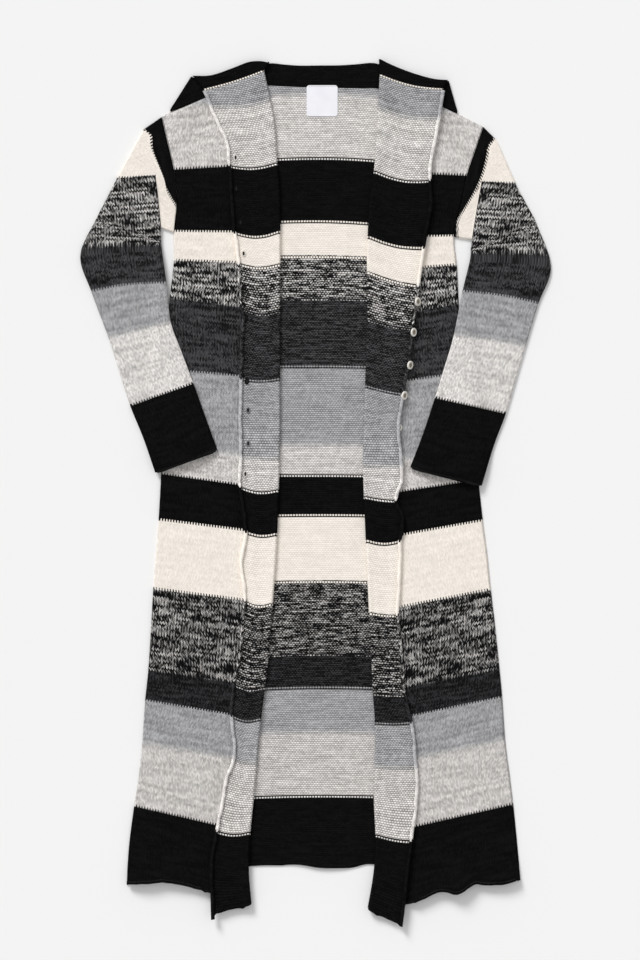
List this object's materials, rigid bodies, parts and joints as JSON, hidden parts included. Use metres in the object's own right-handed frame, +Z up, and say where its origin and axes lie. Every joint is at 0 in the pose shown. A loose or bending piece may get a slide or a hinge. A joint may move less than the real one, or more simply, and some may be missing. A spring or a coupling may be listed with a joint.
{
  "type": "duster cardigan",
  "caption": "Long striped knitted duster cardigan laid flat on its back, with both fronts turned back along a loose fold and the sleeves turned down over the body.",
  "frame": {"origin": "middle of the outline on the surface that the garment lies on", "axes": "+X to the wearer's left, +Y from the hem to the collar, +Z up from the surface"},
  "size_m": [0.7052, 1.299, 0.0178],
  "materials": {
    "knit": "matt wool and cotton knit in blocks of black, cream, charcoal, grey and pale heather",
    "collar_knit": "matt black knit",
    "label": "white woven satin",
    "button": "polished pale shell"
  },
  "bodies": {
    "root": {"back": "knit", "front_right": "knit", "front_left": "knit", "sleeve_right": "knit", "sleeve_left": "knit", "collar": "collar_knit", "neck_label": "label", "button_01": "button", "button_02": "button", "button_03": "button", "button_04": "button", "button_05": "button", "button_06": "button", "button_07": "button", "button_08": "button", "button_09": "button", "button_10": "button", "button_11": "button"}
  },
  "joints": []
}
